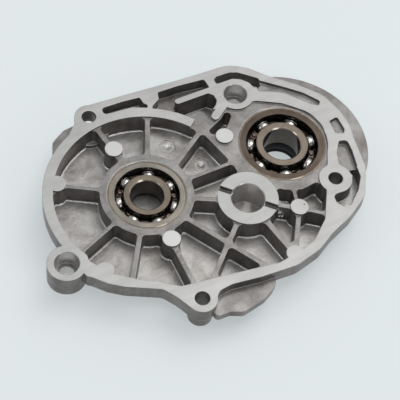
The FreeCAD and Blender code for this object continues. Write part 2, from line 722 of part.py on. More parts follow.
def cage_half(prefix, centre, first_angle, side):
    """One pressed half of a ribbon cage: flat lands between the balls, and a bow over each ball."""
    count = int(size("ball_count"))
    pitch = pitch_radius(prefix)
    band = size("cage_band_share") * ball_radius(prefix)
    inner = pitch - band / 2
    outer = pitch + band / 2
    sheet_metal = size("cage_sheet")
    gap = ball_radius(prefix) + size("pocket_clearance")
    height = gap + sheet_metal
    annulus = disc(centre, outer).cut(disc(centre, inner))
    land = annulus.extrude(V(0, 0, sheet_metal))
    room = annulus.extrude(V(0, 0, height + 1))
    bows = []
    pockets = []
    for number in range(count):
        angle = math.radians(first_angle + 360.0 * number / count)
        away = V(math.cos(angle), math.sin(angle), 0)
        start = centre + away * (inner - 2)
        reach = outer - inner + 4
        bows.append(Part.makeCylinder(height, reach, start, away))
        pockets.append(Part.makeCylinder(gap, reach, start, away))
    shape = land.fuse([bow.common(room) for bow in bows]).cut(pockets).removeSplitter()
    holes = [Part.makeCylinder(size("rivet_radius"), 4, place + V(0, 0, -2))
             for place in rivet_places(prefix, centre, first_angle)]
    shape = shape.cut(holes)
    if side < 0:
        shape = shape.mirror(V(0, 0, 0), UP)
    name = f"{prefix}_cage_{'upper' if side > 0 else 'lower'}"
    return part_feature(name, shape.Solids[0], bearing_middle(prefix))


def rivet_places(prefix, centre, first_angle):
    """The rivets sit halfway between the balls."""
    count = int(size("ball_count"))
    pitch = pitch_radius(prefix)
    return [polar(centre, pitch, first_angle + 360.0 * (number + 0.5) / count) for number in range(count)]


def make_rivets(prefix, centre, first_angle):
    """The rivets that close the two halves of a cage, with a head on each side."""
    sheet_metal = size("cage_sheet")
    shank = size("rivet_radius")
    head = size("rivet_head_radius")
    tall = size("rivet_head_height")
    rivets = []
    for place in rivet_places(prefix, centre, first_angle):
        profile = [(0, -sheet_metal - tall), (head * 0.6, -sheet_metal - tall), (head, -sheet_metal),
                   (shank, -sheet_metal), (shank, sheet_metal), (head, sheet_metal),
                   (head * 0.6, sheet_metal + tall), (0, sheet_metal + tall)]
        points = [place + V(radius, 0, height) for radius, height in profile]
        rivets.append(Part.Face(Part.makePolygon(points + points[:1])).revolve(place, UP, 360))
    return part_feature(f"{prefix}_cage_rivets", Part.makeCompound(rivets), bearing_middle(prefix))


def make_bearing(prefix, first_angle):
    """All pieces of one ball bearing."""
    centre = CENTRES[prefix]
    pieces = [make_ring(prefix, centre, True), make_ring(prefix, centre, False)]
    pieces += make_balls(prefix, first_angle)
    pieces += [cage_half(prefix, centre, first_angle, 1), cage_half(prefix, centre, first_angle, -1)]
    pieces.append(make_rivets(prefix, centre, first_angle))
    return pieces


# ---------------------------------------------------------------- oil seal


def make_seal():
    """The rubber-covered oil seal below the axle bearing, and the garter spring round its lip."""
    top = -size("bearing_drop") - size("axle_width") - size("seal_shelf")
    low = top - size("seal_width")
    wall = size("seal_radius")
    lip = size("seal_lip_radius")
    wire = size("garter_radius")
    spring_z = top - size("garter_drop")
    spring_r = lip + size("garter_seat") + wire
    body = doc.addObject("PartDesign::Body", "axle_seal")
    sketch = sketch_at(body, "seal_section", role="XZ_Plane")
    points = [
        V(wall, top, 0), V(wall - 1.6, top, 0), V(wall - 1.6, low + 1.8, 0), V(lip + 2.6, low + 1.8, 0),
        V(spring_r, spring_z - wire, 0), V(spring_r, spring_z + wire, 0), V(lip + 1.7, top - 0.4, 0),
        V(lip + 0.9, top - 0.4, 0), V(lip, top - 2.4, 0), V(lip + 0.9, low + 1.2, 0),
        V(lip + 0.1, low + 0.4, 0), V(lip + 0.1, low, 0), V(wall, low, 0),
    ]
    for number, (start, end) in enumerate(zip(points, points[1:] + points[:1])):
        if number == 4:
            sketch.addGeometry(Part.Arc(start, V(spring_r - wire, spring_z, 0), end), False)
        else:
            sketch.addGeometry(Part.LineSegment(start, end), False)
    turn = body.newObject("PartDesign::Revolution", "seal_turned")
    turn.Profile = sketch
    turn.ReferenceAxis = (sketch, ["V_Axis"])
    turn.Angle = 360
    spring = doc.addObject("Part::Torus", "axle_seal_spring")
    spring.setExpression("Radius1", "sizes.seal_lip_radius + sizes.garter_seat + sizes.garter_radius")
    spring.setExpression("Radius2", "sizes.garter_radius")
    below = "sizes.bearing_drop - sizes.axle_width - sizes.seal_shelf - sizes.garter_drop"
    spring.setExpression("Placement.Base.z", "-" + below)
    return [body, spring]


# ---------------------------------------------------------------- assembly and export

pieces = [make_housing()]
pieces += make_bearing("input", 113.0)
pieces += make_bearing("axle", 96.0)
pieces += make_seal()
doc.recompute()

for item in doc.Objects:
    if "Invalid" in item.State or "Error" in item.State:
        raise RuntimeError(f"{item.Name} failed: {item.State}")
for piece in pieces:
    shape = piece.Shape
    if shape.isNull() or not shape.isValid():
        raise RuntimeError(f"{piece.Label} has no valid shape")
    shape.exportStep(f"parts/{piece.Label}.step")
    print(piece.Label, len(shape.Solids), round(shape.Volume, 1))
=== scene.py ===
import json
import math
import random

import bpy
from mathutils import Matrix, Vector


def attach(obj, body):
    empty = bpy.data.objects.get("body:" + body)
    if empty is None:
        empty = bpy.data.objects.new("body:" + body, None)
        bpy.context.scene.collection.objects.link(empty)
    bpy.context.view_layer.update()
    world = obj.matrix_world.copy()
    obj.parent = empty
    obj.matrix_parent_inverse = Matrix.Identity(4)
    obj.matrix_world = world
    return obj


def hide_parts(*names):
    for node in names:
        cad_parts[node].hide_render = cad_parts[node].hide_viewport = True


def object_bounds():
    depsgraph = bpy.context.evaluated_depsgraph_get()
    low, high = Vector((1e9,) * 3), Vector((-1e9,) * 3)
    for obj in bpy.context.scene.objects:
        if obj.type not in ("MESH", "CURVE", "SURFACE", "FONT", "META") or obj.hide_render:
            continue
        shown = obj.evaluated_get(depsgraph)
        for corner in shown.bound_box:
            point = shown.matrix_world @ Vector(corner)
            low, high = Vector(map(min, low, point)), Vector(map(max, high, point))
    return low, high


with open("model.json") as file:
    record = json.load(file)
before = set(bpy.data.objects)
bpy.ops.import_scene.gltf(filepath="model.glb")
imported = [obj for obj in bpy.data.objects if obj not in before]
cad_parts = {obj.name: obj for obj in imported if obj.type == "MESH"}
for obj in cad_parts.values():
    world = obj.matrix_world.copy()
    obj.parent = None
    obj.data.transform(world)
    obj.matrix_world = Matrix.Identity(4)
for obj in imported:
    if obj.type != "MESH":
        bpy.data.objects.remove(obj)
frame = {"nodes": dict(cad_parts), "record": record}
cad_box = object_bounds()

MM = 0.001

# ---------------------------------------------------------------- places and sizes

mounts = {mount["name"]: mount for mount in frame["record"]["mounts"]}


def place(name):
    """A mount's point, in metres."""
    return Vector(mounts[name]["pos_m"])


def bore_radius(name):
    """A bore mount's radius, in metres."""
    return mounts[name]["dims"]["r_mm"] * MM


def corners_of(node):
    """The eight corners of a CAD node's box."""
    target = frame["nodes"][node]
    return [target.matrix_world @ Vector(corner) for corner in target.bound_box]


def ring_radius(node):
    """The outer radius of a ring, from its box."""
    across = [corner.x for corner in corners_of(node)]
    return (max(across) - min(across)) / 2


def ball_of(node):
    """The middle and the radius of a ball, from its box."""
    corners = corners_of(node)
    diagonal = (corners[0] - corners[6]).length
    return sum(corners, Vector()) / len(corners), diagonal / math.sqrt(3) / 2


def balls_of(prefix):
    """The names of a bearing's ball nodes."""
    return sorted(node for node in frame["nodes"] if node.startswith(f"{prefix}_ball"))


AXLE = place("axle_bore")
INPUT = place("input_bore")
BOSS = place("countershaft_bore")
BEARINGS = (("input", INPUT), ("axle", AXLE))
FACE = place("mating_face").z
REST = cad_box[0][2]

# the part's sizes that no mount carries
BOSS_RADIUS = 13.7 * MM
PAD_RADIUS = 4.05 * MM
# each pusher pad's middle in mm, and how much brighter than the flange it is
PADS = (
    ((-72.2, 27.3, 0.0), 1.0),
    ((-69.1, -25.4, 0.0), 1.0),
    ((-22.8, 13.75, 0.0), 0.9),
    ((-9.8, -33.8, 0.0), 0.25),
)
BOSS_BRIGHTNESS = 0.3
# the small pit on the lowest pad, painted dark as the shade in its hollow
PIT = Vector((-7.3, -33.6, 0.0)) * MM
PIT_RADIUS = 0.35 * MM

# ---------------------------------------------------------------- camera, floor and light

AIM = Vector((-48.9, -12.8, 0.0)) * MM
ELEVATION = math.radians(57.2)
# the way to the camera, seen from above
HEADING = Vector((-0.5644, -0.8255, 0.0))
BACK = HEADING * math.cos(ELEVATION) + Vector((0, 0, math.sin(ELEVATION)))
DISTANCE = 618.5 * MM
ROLL = math.radians(8.9)
LENS = 126.0
SENSOR = 36.0
NEAR_CLIP = 10 * MM

FLOOR_REACH = 3.0
FLOOR_COLOUR = (0.36, 0.385, 0.39)
FLOOR_SHEEN = 0.1
# the floor's own glow keeps its shadows weak, as on a light table
FLOOR_GLOW_COLOUR = (0.93, 0.985, 1.0)
FLOOR_GLOW = 0.42

LIT_POINT = Vector((-0.04, 0.0, 0.0))
# name, direction from the part, distance and width in m, power in W, colour
LAMPS = (
    ("key", (0.40, 0.14, 1.0), 1.3, 0.9, 7.2, (1.0, 0.99, 0.975)),
    ("top", (-0.16, -0.2, 1.0), 1.3, 0.35, 1.5, (1.0, 1.0, 1.0)),
    ("fill", (-1.0, 0.1, 0.8), 1.4, 0.5, 1.6, (0.96, 0.98, 1.0)),
    ("near", (0.25, -1.0, 0.62), 1.4, 0.5, 1.9, (0.97, 0.98, 1.0)),
)
ROOM_COLOUR = (0.95, 0.98, 1.0)
ROOM_BRIGHT_SIDE = Vector((0.42, 0.60, 0.68)).normalized()
# the room's strength runs from To Min to To Max as the direction nears its bright side
ROOM_FALL = (("From Min", -0.3), ("From Max", 0.95), ("To Min", 0.22), ("To Max", 0.70))


def facing(direction):
    """The turn that points a camera's or a lamp's back along a direction."""
    return direction.to_track_quat("Z", "Y").to_matrix().to_4x4()


def make_camera():
    data = bpy.data.cameras.new("camera")
    data.lens = LENS
    data.sensor_width = SENSOR
    data.clip_start = NEAR_CLIP
    camera = bpy.data.objects.new("camera", data)
    stand = Matrix.Translation(AIM + BACK * DISTANCE)
    camera.matrix_world = stand @ facing(BACK) @ Matrix.Rotation(ROLL, 4, "Z")
    bpy.context.collection.objects.link(camera)
    bpy.context.scene.camera = camera


def make_floor():
    mesh = bpy.data.meshes.new("floor")
    signs = ((-1, -1), (1, -1), (1, 1), (-1, 1))
    corners = [(FLOOR_REACH * x, FLOOR_REACH * y, REST) for x, y in signs]
    mesh.from_pydata(corners, [], [(0, 1, 2, 3)])
    floor = bpy.data.objects.new("floor", mesh)
    bpy.context.collection.objects.link(floor)
    floor.data.materials.append(floor_material())


def make_lamp(name, direction, distance, width, power, colour):
    """A soft area lamp that shines on the part from a direction."""
    data = bpy.data.lights.new(name, "AREA")
    data.shape = "SQUARE"
    data.size = width
    data.energy = power
    data.color = colour
    lamp = bpy.data.objects.new(name, data)
    away = Vector(direction).normalized()
    lamp.matrix_world = Matrix.Translation(LIT_POINT + away * distance) @ facing(away)
    bpy.context.collection.objects.link(lamp)


def make_room():
    """A pale room that is brighter behind the part than on the camera's side."""
    world = bpy.data.worlds.new("studio")
    bpy.context.scene.world = world
    world.use_nodes = True
    tree = world.node_tree
    direction = tree.nodes.new("ShaderNodeTexCoord").outputs["Generated"]
    toward = tree.nodes.new("ShaderNodeVectorMath")
    toward.operation = "DOT_PRODUCT"
    toward.inputs[1].default_value = ROOM_BRIGHT_SIDE
    tree.links.new(direction, toward.inputs[0])
    level = tree.nodes.new("ShaderNodeMapRange")
    level.interpolation_type = "SMOOTHSTEP"
    for name, value in ROOM_FALL:
        level.inputs[name].default_value = value
    tree.links.new(toward.outputs["Value"], level.inputs["Value"])
    background = tree.nodes["Background"]
    background.inputs["Color"].default_value = (*ROOM_COLOUR, 1)
    tree.links.new(level.outputs["Result"], background.inputs["Strength"])


# ---------------------------------------------------------------- shader helpers

BEVEL_SAMPLES = 6
EDGE_GAIN = 3.4
# where a Mix node takes its share and its two numbers or colours, and where it gives a colour
MIX_NUMBER_SOCKETS = (0, 2, 3)
MIX_COLOUR_SOCKETS = (0, 6, 7)
MIX_COLOUR_OUTPUT = 2


class Shader:
    """A material's node tree, built by short calls. A mask is 1 where it holds and 0 elsewhere."""

    def __init__(self, name):
        self.material = bpy.data.materials.new(name)
        self.material.use_nodes = True
        self.tree = self.material.node_tree
        self.principled = self.tree.nodes["Principled BSDF"]

    def node(self, kind, **values):
        node = self.tree.nodes.new(kind)
        for key, value in values.items():
            setattr(node, key, value)
        return node

    def link(self, source, target):
        """Joins an output to a socket, or sets the socket to a colour or a number."""
        if isinstance(source, tuple):
            target.default_value = (*source, 1)
        elif isinstance(source, (int, float)):
            target.default_value = source
        else:
            self.tree.links.new(source, target)

    def math(self, operation, a, b=0.0, clamp=False):
        node = self.node("ShaderNodeMath", operation=operation, use_clamp=clamp)
        self.link(a, node.inputs[0])
        self.link(b, node.inputs[1])
        return node.outputs[0]

    def times(self, a, b):
        """A product, or where two masks both hold."""
        return self.math("MULTIPLY", a, b)

    def most(self, a, b):
        """The larger of two numbers, or where one of two masks holds."""
        return self.math("MAXIMUM", a, b)

    def apart(self, a, b):
        """How far two numbers lie from each other."""
        return self.math("ABSOLUTE", self.math("SUBTRACT", a, b))

    def above(self, value, limit):
        return self.math("GREATER_THAN", value, limit)

    def below(self, value, limit):
        return self.math("LESS_THAN", value, limit)

    def between(self, value, low, high):
        return self.times(self.above(value, low), self.below(value, high))

    def position(self):
        return self.node("ShaderNodeTexCoord").outputs["Object"]

    def axes(self):
        """The object's own x, y and z."""
        split = self.node("ShaderNodeSeparateXYZ")
        self.link(self.position(), split.inputs[0])
        return split.outputs

    def upward(self):
        """How far the surface faces up, from -1 to 1."""
        split = self.node("ShaderNodeSeparateXYZ")
        self.link(self.node("ShaderNodeNewGeometry").outputs["True Normal"], split.inputs[0])
        return split.outputs[2]

    def radius_from(self, centre):
        """The distance from an upright line through a point."""
        x, y, _ = self.axes()
        dx = self.math("SUBTRACT", x, centre.x)
        dy = self.math("SUBTRACT", y, centre.y)
        return self.math("SQRT", self.math("ADD", self.times(dx, dx), self.times(dy, dy)))

    def rings(self, radius, pitch):
        """Fine turned grooves about a centre."""
        return self.math("SINE", self.times(radius, 2 * math.pi / pitch))

    def stretched(self, scales, turn=0.0):
        """The object's coordinates, scaled along its axes and turned about z."""
        node = self.node("ShaderNodeMapping")
        node.inputs["Scale"].default_value = scales
        node.inputs["Rotation"].default_value = (0, 0, turn)
        self.link(self.position(), node.inputs["Vector"])
        return node.outputs[0]

    def noise(self, scale, detail, rough=0.55, distortion=0.0, vector=None):
        node = self.node("ShaderNodeTexNoise")
        node.inputs["Scale"].default_value = scale
        node.inputs["Detail"].default_value = detail
        node.inputs["Roughness"].default_value = rough
        node.inputs["Distortion"].default_value = distortion
        self.link(self.position() if vector is None else vector, node.inputs["Vector"])
        return node.outputs["Fac"]

    def line_noise(self, value, scale, detail):
        """Noise along one number, such as a radius."""
        node = self.node("ShaderNodeTexNoise", noise_dimensions="1D")
        node.inputs["Scale"].default_value = scale
        node.inputs["Detail"].default_value = detail
        self.link(value, node.inputs["W"])
        return node.outputs["Fac"]

    def ramp(self, value, *stops):
        """A colour for each level of a value."""
        node = self.node("ShaderNodeValToRGB")
        while len(node.color_ramp.elements) < len(stops):
            node.color_ramp.elements.new(0.5)
        for element, (at, colour) in zip(node.color_ramp.elements, stops):
            element.position = at
            element.color = (*colour, 1)
        self.link(value, node.inputs[0])
        return node.outputs[0]

    def spread(self, value, low, high):
        """A number in 0..1, spread over a range."""
        node = self.node("ShaderNodeMapRange")
        node.inputs["To Min"].default_value = low
        node.inputs["To Max"].default_value = high
        self.link(value, node.inputs["Value"])
        return node.outputs[0]

    def blend(self, share, a, b):
        """A number between two others."""
        node = self.node("ShaderNodeMix", data_type="FLOAT")
        for value, socket in zip((share, a, b), MIX_NUMBER_SOCKETS):
            self.link(value, node.inputs[socket])
        return node.outputs[0]

    def mix(self, share, a, b, blend_type="MIX"):
        """A colour between two others."""
        node = self.node("ShaderNodeMix", data_type="RGBA", blend_type=blend_type)
        for value, socket in zip((share, a, b), MIX_COLOUR_SOCKETS):
            self.link(value, node.inputs[socket])
        return node.outputs[MIX_COLOUR_OUTPUT]

    def stain(self, colour, stain, share=1.0):
        """A colour multiplied by another one."""
        return self.mix(share, colour, stain, "MULTIPLY")

    def soft_edges(self, radius):
        """The normal, rounded over the edges."""
        node = self.node("ShaderNodeBevel", samples=BEVEL_SAMPLES)
        node.inputs["Radius"].default_value = radius
        return node.outputs[0]

    def edge(self, radius):
        """Near 1 on the outward and inward edges, 0 on flat ground."""
        dot = self.node("ShaderNodeVectorMath", operation="DOT_PRODUCT")
        self.link(self.soft_edges(radius), dot.inputs[0])
        self.link(self.node("ShaderNodeNewGeometry").outputs["Normal"], dot.inputs[1])
        bent = self.math("SUBTRACT", 1.0, dot.outputs["Value"])
        return self.math("MULTIPLY", bent, EDGE_GAIN, clamp=True)

    def bump(self, height, distance, strength, normal=None):
        """The normal, bent by a height."""
        node = self.node("ShaderNodeBump")
        node.inputs["Strength"].default_value = strength
        node.inputs["Distance"].default_value = distance
        self.link(height, node.inputs["Height"])
        if normal is not None:
            self.link(normal, node.inputs["Normal"])
        return node.outputs[0]

    def shading(self, colour, roughness, metallic=0.0, normal=None):
        """Sets the surface and gives the finished material."""
        self.link(colour, self.principled.inputs["Base Color"])
        self.link(roughness, self.principled.inputs["Roughness"])
        self.link(metallic, self.principled.inputs["Metallic"])
        if normal is not None:
            self.link(normal, self.principled.inputs["Normal"])
        return self.material


# ---------------------------------------------------------------- the casting's material

WHITE = (1.0, 1.0, 1.0)

# this near to the mating face is the face itself, and this far below it is a pocket
FACE_SKIN = 0.05 * MM
POCKET_DROP = 6 * MM
# how far a pad's or the boss's mask reaches past its edge, and a bore's past its wall
MASK_MARGIN = 0.1 * MM
BORE_BAND = 0.5 * MM

# how far up a surface faces to count as each place: 1 is level and 0 is upright
MACHINED_UP = 0.9
POCKET_FLOOR_UP = 0.6
POCKET_FOOT_UP = (0.5, 0.93)
BORE_FLOOR_UP = 0.5
SEAT_LIP_UP = 0.3
CAST_WALL_UP = 0.4
POCKET_FLOOR_SHARE = 0.5
POCKET_FOOT_SHARE = 0.6
BRIGHT_BORES = ("countershaft_bore", "left_dowel_bore", "right_dowel_bore")

BRIGHT_PAD = (0.52, 0.515, 0.505)
# painted shade in the small pit
PIT_SHADE = (0.05, 0.05, 0.05)
# the bores' and seats' brighter machined finish, with a painted highlight
BORE_FINISH_AND_HIGHLIGHT = (0.70, 0.68, 0.66)
# painted shade on the floors of the bores
BORE_FLOOR_SHADE = (0.22, 0.21, 0.20)
# painted shade along the gap between a bearing's ring and its seat
SEAT_GAP_SHADE = (0.36, 0.34, 0.32)
# painted highlight on the edges, brightest at worn nicks
WORN_EDGE_GLINT = (0.82, 0.81, 0.80)
# painted light on the pockets' floors
POCKET_FLOOR_LIGHT = (0.62, 0.605, 0.59)
# painted highlight on the fillets at the pockets' feet
POCKET_FOOT_HIGHLIGHT = (0.88, 0.87, 0.86)

ROUGHNESS = {"machined": 0.44, "pocket_foot": 0.18, "bored": 0.27, "edge_glint": 0.28}
METAL = {"cast": 0.55, "machined": 0.35, "bored": 0.7}
EDGE_WIDTH = 0.45 * MM
EDGE_ROUNDING = 0.5 * MM
BOSS_RING_PITCH = 0.35 * MM


class Casting(Shader):
    """Die-cast aluminium, machined on the mating face and in its bores."""

    def __init__(self):
        super().__init__("casting")
        self.height = self.axes()[2]
        self.up = self.upward()
        self.blotches = self.noise(scale=45, detail=4.0, rough=0.62)
        self.grain = self.noise(scale=1100, detail=5.0, rough=0.7)
        self.clouds = self.noise(scale=160, detail=3.0, rough=0.6)
        self.find_places()

    def find_places(self):
        """The masks of the machined face, the pockets, the boss and the bores."""
        on_face = self.above(self.height, FACE - FACE_SKIN)
        self.machined = self.times(on_face, self.above(self.up, MACHINED_UP))
        self.sunk = self.below(self.height, FACE - POCKET_DROP)
        self.wall = self.below(self.math("ABSOLUTE", self.up), CAST_WALL_UP)
        floor = self.times(self.sunk, self.above(self.up, POCKET_FLOOR_UP))
        foot = self.times(self.between(self.up, *POCKET_FOOT_UP), self.sunk)
        self.pocket_floor = self.times(floor, POCKET_FLOOR_SHARE)
        self.pocket_foot = self.times(foot, POCKET_FOOT_SHARE)
        self.boss_reach = self.radius_from(BOSS)
        self.boss = self.below(self.boss_reach, BOSS_RADIUS + MASK_MARGIN)
        self.seats = self.seat_mask()
        self.bored = self.bore_mask()

    def seat_mask(self):
        """A thin band on the wall of each bearing's seat, for a painted highlight and, where it faces
        up, a painted shade.
        """
        seats = 0.0
        for prefix, centre in BEARINGS:
            seat = ring_radius(f"{prefix}_outer_ring")
            seats = self.most(seats, self.below(self.apart(self.radius_from(centre), seat), BORE_BAND))
        return seats

    def bore_mask(self):
        """The turned bores and the bearings' seats, below the mating face, where their machined finish
        gets a painted highlight.
        """
        bores = 0.0
        for name in BRIGHT_BORES:
            reach = bore_radius(name) + BORE_BAND
            bores = self.most(bores, self.below(self.radius_from(place(name)), reach))
        bores = self.most(bores, self.seats)
        return self.times(bores, self.below(self.height, FACE - FACE_SKIN))

    def bright_mask(self):
        """How much brighter than the flange the pusher pads and the boss are."""
        bright = 0.0
        for point, brightness in PADS:
            pad = self.below(self.radius_from(Vector(point) * MM), PAD_RADIUS + MASK_MARGIN)
            bright = self.most(bright, self.times(pad, brightness))
        bright = self.most(bright, self.times(self.boss, BOSS_BRIGHTNESS))
        return self.times(bright, self.machined)

    def cast_colour(self):
        """Mottled skin, with painted light on the pockets' floors and a painted highlight on their
        fillets, streaked and browner on their walls.
        """
        colour = self.ramp(self.blotches, (0.3, (0.205, 0.195, 0.188)), (0.5, (0.255, 0.245, 0.237)),
                           (0.7, (0.315, 0.304, 0.295)))
        # painted light on the pockets' floors
        colour = self.mix(self.pocket_floor, colour, POCKET_FLOOR_LIGHT)
        colour = self.stain(colour, self.ramp(self.grain, (0.3, (0.78, 0.78, 0.78)), (0.7, WHITE)))
        colour = self.stain(colour, self.ramp(self.clouds, (0.32, (0.72, 0.70, 0.69)), (0.62, WHITE)))
        stains = self.noise(scale=85, detail=5.0, rough=0.7, distortion=0.6)
        stains = self.ramp(stains, (0.36, (0.66, 0.63, 0.61)), (0.52, WHITE))
        colour = self.stain(colour, stains, share=0.8)
        # painted highlight on the pockets' fillets
        colour = self.mix(self.pocket_foot, colour, POCKET_FOOT_HIGHLIGHT)
        marks = self.noise(scale=1.0, detail=4.0, rough=0.7, vector=self.stretched((300, 300, 60)))
        marks = self.ramp(marks, (0.35, (0.78, 0.74, 0.72)), (0.65, (1.0, 0.98, 0.97)))
        return self.mix(self.wall, colour, self.stain(colour, marks))

    def milled_colour(self):
        """The mating face, with the cutter's faint streaks."""
        vector = self.stretched((30, 260, 120), turn=0.5)
        streaks = self.noise(scale=1.0, detail=3.0, rough=0.6, vector=vector)
        colour = self.ramp(streaks, (0.3, (0.40, 0.392, 0.384)), (0.7, (0.47, 0.462, 0.453)))
        return self.stain(colour, self.ramp(self.blotches, (0.3, (0.84, 0.84, 0.84)), (0.65, WHITE)))

    def colour(self, edge_glint):
        colour = self.mix(self.machined, self.cast_colour(), self.milled_colour())
        colour = self.mix(self.bright_mask(), colour, BRIGHT_PAD)
        # painted shade in the pit on the lowest pad
        colour = self.mix(self.below(self.radius_from(PIT), PIT_RADIUS), colour, PIT_SHADE)
        # the bores' machined finish with a painted highlight
        colour = self.mix(self.bored, colour, BORE_FINISH_AND_HIGHLIGHT)
        # painted shade on the bores' floors
        bore_floor_shade = self.times(self.times(self.bored, self.sunk), self.above(self.up, BORE_FLOOR_UP))
        colour = self.mix(bore_floor_shade, colour, BORE_FLOOR_SHADE)
        # painted shade on the seat's lip, along the gap at the ring
        seat_gap_shade = self.times(self.seats, self.above(self.up, SEAT_LIP_UP))
        colour = self.mix(seat_gap_shade, colour, SEAT_GAP_SHADE)
        # painted highlight on the edges
        return self.mix(edge_glint, colour, WORN_EDGE_GLINT)

    def roughness(self, edge_glint):
        rough = self.spread(self.clouds, low=0.27, high=0.42)
        rough = self.blend(self.machined, rough, ROUGHNESS["machined"])
        rough = self.blend(self.pocket_foot, rough, ROUGHNESS["pocket_foot"])
        rough = self.blend(self.bored, rough, ROUGHNESS["bored"])
        return self.blend(edge_glint, rough, ROUGHNESS["edge_glint"])

    def metal(self):
        milled = self.blend(self.machined, METAL["cast"], METAL["machined"])
        return self.blend(self.bored, milled, METAL["bored"])

    def relief(self):
        """Cast grain, slow waves over everything, and turning rings on the boss."""
        cast = self.math("SUBTRACT", 1.0, self.most(self.machined, self.bored))
        turned = self.times(self.boss, self.machined)
        rings = self.times(self.rings(self.boss_reach, BOSS_RING_PITCH), turned)
        waves = self.noise(scale=70, detail=2.0, rough=0.5)
        normal = self.soft_edges(EDGE_ROUNDING)
        for height, distance, strength in (
            (self.times(self.grain, cast), 0.12 * MM, 0.45),
            (self.times(self.clouds, cast), 0.5 * MM, 0.35),
            (waves, 0.6 * MM, 0.12),
            (rings, 0.03 * MM, 0.5),
        ):
            normal = self.bump(height, distance, strength, normal)
        return normal

    def finished(self):
        """The whole material, with a painted highlight on the edges, strongest where they are worn here
        and there.
        """
        nicks = self.spread(self.noise(scale=330, detail=3.0, rough=0.7), low=0.25, high=1.0)
        # a painted highlight on the edges, stronger at worn nicks
        edge_glint = self.times(self.edge(EDGE_WIDTH), nicks)
        return self.shading(self.colour(edge_glint), self.roughness(edge_glint), self.metal(), self.relief())


# ---------------------------------------------------------------- the other materials

# each ring's darkest and lightest tone
RING_TONES = {
    "input_outer_ring": ((0.165, 0.150, 0.130), (0.265, 0.245, 0.215)),
    "input_inner_ring": ((0.12, 0.099, 0.077), (0.195, 0.165, 0.132)),
    "axle_outer_ring": ((0.052, 0.040, 0.032), (0.095, 0.074, 0.060)),
    "axle_inner_ring": ((0.115, 0.094, 0.076), (0.19, 0.158, 0.130)),
}
BALL_COLOUR = (0.56, 0.55, 0.53)
SPRING_COLOUR = (0.35, 0.35, 0.36)
# painted highlight on the rings' chamfers and edges
CHAMFER_HIGHLIGHT = (0.44, 0.385, 0.32)
# painted shade on the rings' upright walls, between the rings
RING_WALL_SHADE = (0.05, 0.05, 0.052)
CROWN_HIGHLIGHT = (0.40, 0.38, 0.36)
# a cup's painted highlight is its height in ball radii times the gain, less the loss, within 0..1
CROWN_GAIN = 2.2
CROWN_LOSS = 1.2
SPRING_TURNS = 110.0

RING_CHAMFER_UP = (0.4, 0.9)
RING_WALL_UP = 0.5
RING_WALL_SHARE = 0.45
RING_EDGE = 0.3 * MM
RING_EDGE_SHARE = 0.6
RING_WALL_ROUGHNESS = 0.16
CHAMFER_ROUGHNESS = 0.2
GRINDING_PITCH = 0.18 * MM


def floor_material():
    shader = Shader("floor")
    shader.link(FLOOR_SHEEN, shader.principled.inputs["Specular IOR Level"])
    shader.link(FLOOR_GLOW_COLOUR, shader.principled.inputs["Emission Color"])
    shader.link(FLOOR_GLOW, shader.principled.inputs["Emission Strength"])
    return shader.shading(FLOOR_COLOUR, roughness=0.9)


def ring_material(ring, centre):
    """Ground steel, with rings of tone about the shaft, a painted highlight on the chamfers and edges, a
    painted shade on the upright walls and a thin film of oil.
    """
    shader = Shader(f"{ring}_steel")
    low, high = RING_TONES[ring]
    radius = shader.radius_from(centre)
    up = shader.upward()
    film = shader.noise(scale=90, detail=3.0, rough=0.6)
    lines = shader.line_noise(radius, scale=1100, detail=2.0)
    edge_glint = shader.times(shader.edge(RING_EDGE), RING_EDGE_SHARE)
    chamfer_highlight = shader.most(shader.between(up, *RING_CHAMFER_UP), edge_glint)
    wall = shader.below(shader.math("ABSOLUTE", up), RING_WALL_UP)

    colour = shader.ramp(film, (0.3, low), (0.7, high))
    colour = shader.stain(colour, shader.ramp(lines, (0.35, (0.74, 0.73, 0.72)), (0.65, WHITE)))
    # painted highlight on the chamfers and edges
    colour = shader.mix(chamfer_highlight, colour, CHAMFER_HIGHLIGHT)
    # painted shade on the upright walls
    colour = shader.mix(shader.times(wall, RING_WALL_SHARE), colour, RING_WALL_SHADE)
    rough = shader.blend(wall, shader.spread(film, low=0.26, high=0.38), RING_WALL_ROUGHNESS)
    rough = shader.blend(chamfer_highlight, rough, CHAMFER_ROUGHNESS)
    grooves = shader.rings(radius, GRINDING_PITCH)
    normal = shader.bump(grooves, distance=0.003 * MM, strength=0.3, normal=shader.soft_edges(RING_EDGE))
    return shader.shading(colour, rough, metallic=0.9, normal=normal)


def ball_material():
    shader = Shader("ball_steel")
    film = shader.noise(scale=300, detail=2.0)
    return shader.shading(BALL_COLOUR, shader.spread(film, low=0.04, high=0.10), metallic=1.0,
                          normal=shader.bump(film, distance=0.01 * MM, strength=0.1))


def cage_material(prefix):
    """Pressed sheet under oil, red-brown between the balls, with a painted highlight over them."""
    shader = Shader(f"{prefix}_cage_steel")
    film = shader.noise(scale=350, detail=4.0)
    colour = shader.ramp(film, (0.35, (0.035, 0.026, 0.022)), (0.75, (0.13, 0.085, 0.068)))
    middle, ball = ball_of(f"{prefix}_ball_1")
    lift = shader.math("DIVIDE", shader.apart(shader.axes()[2], middle.z), ball)
    crown_highlight = shader.math("SUBTRACT", shader.times(lift, CROWN_GAIN), CROWN_LOSS, clamp=True)
    # painted highlight on the cups' crowns
    colour = shader.mix(crown_highlight, colour, CROWN_HIGHLIGHT)
    return shader.shading(colour, shader.spread(film, low=0.12, high=0.22), metallic=0.95,
                          normal=shader.bump(film, distance=0.03 * MM, strength=0.25))


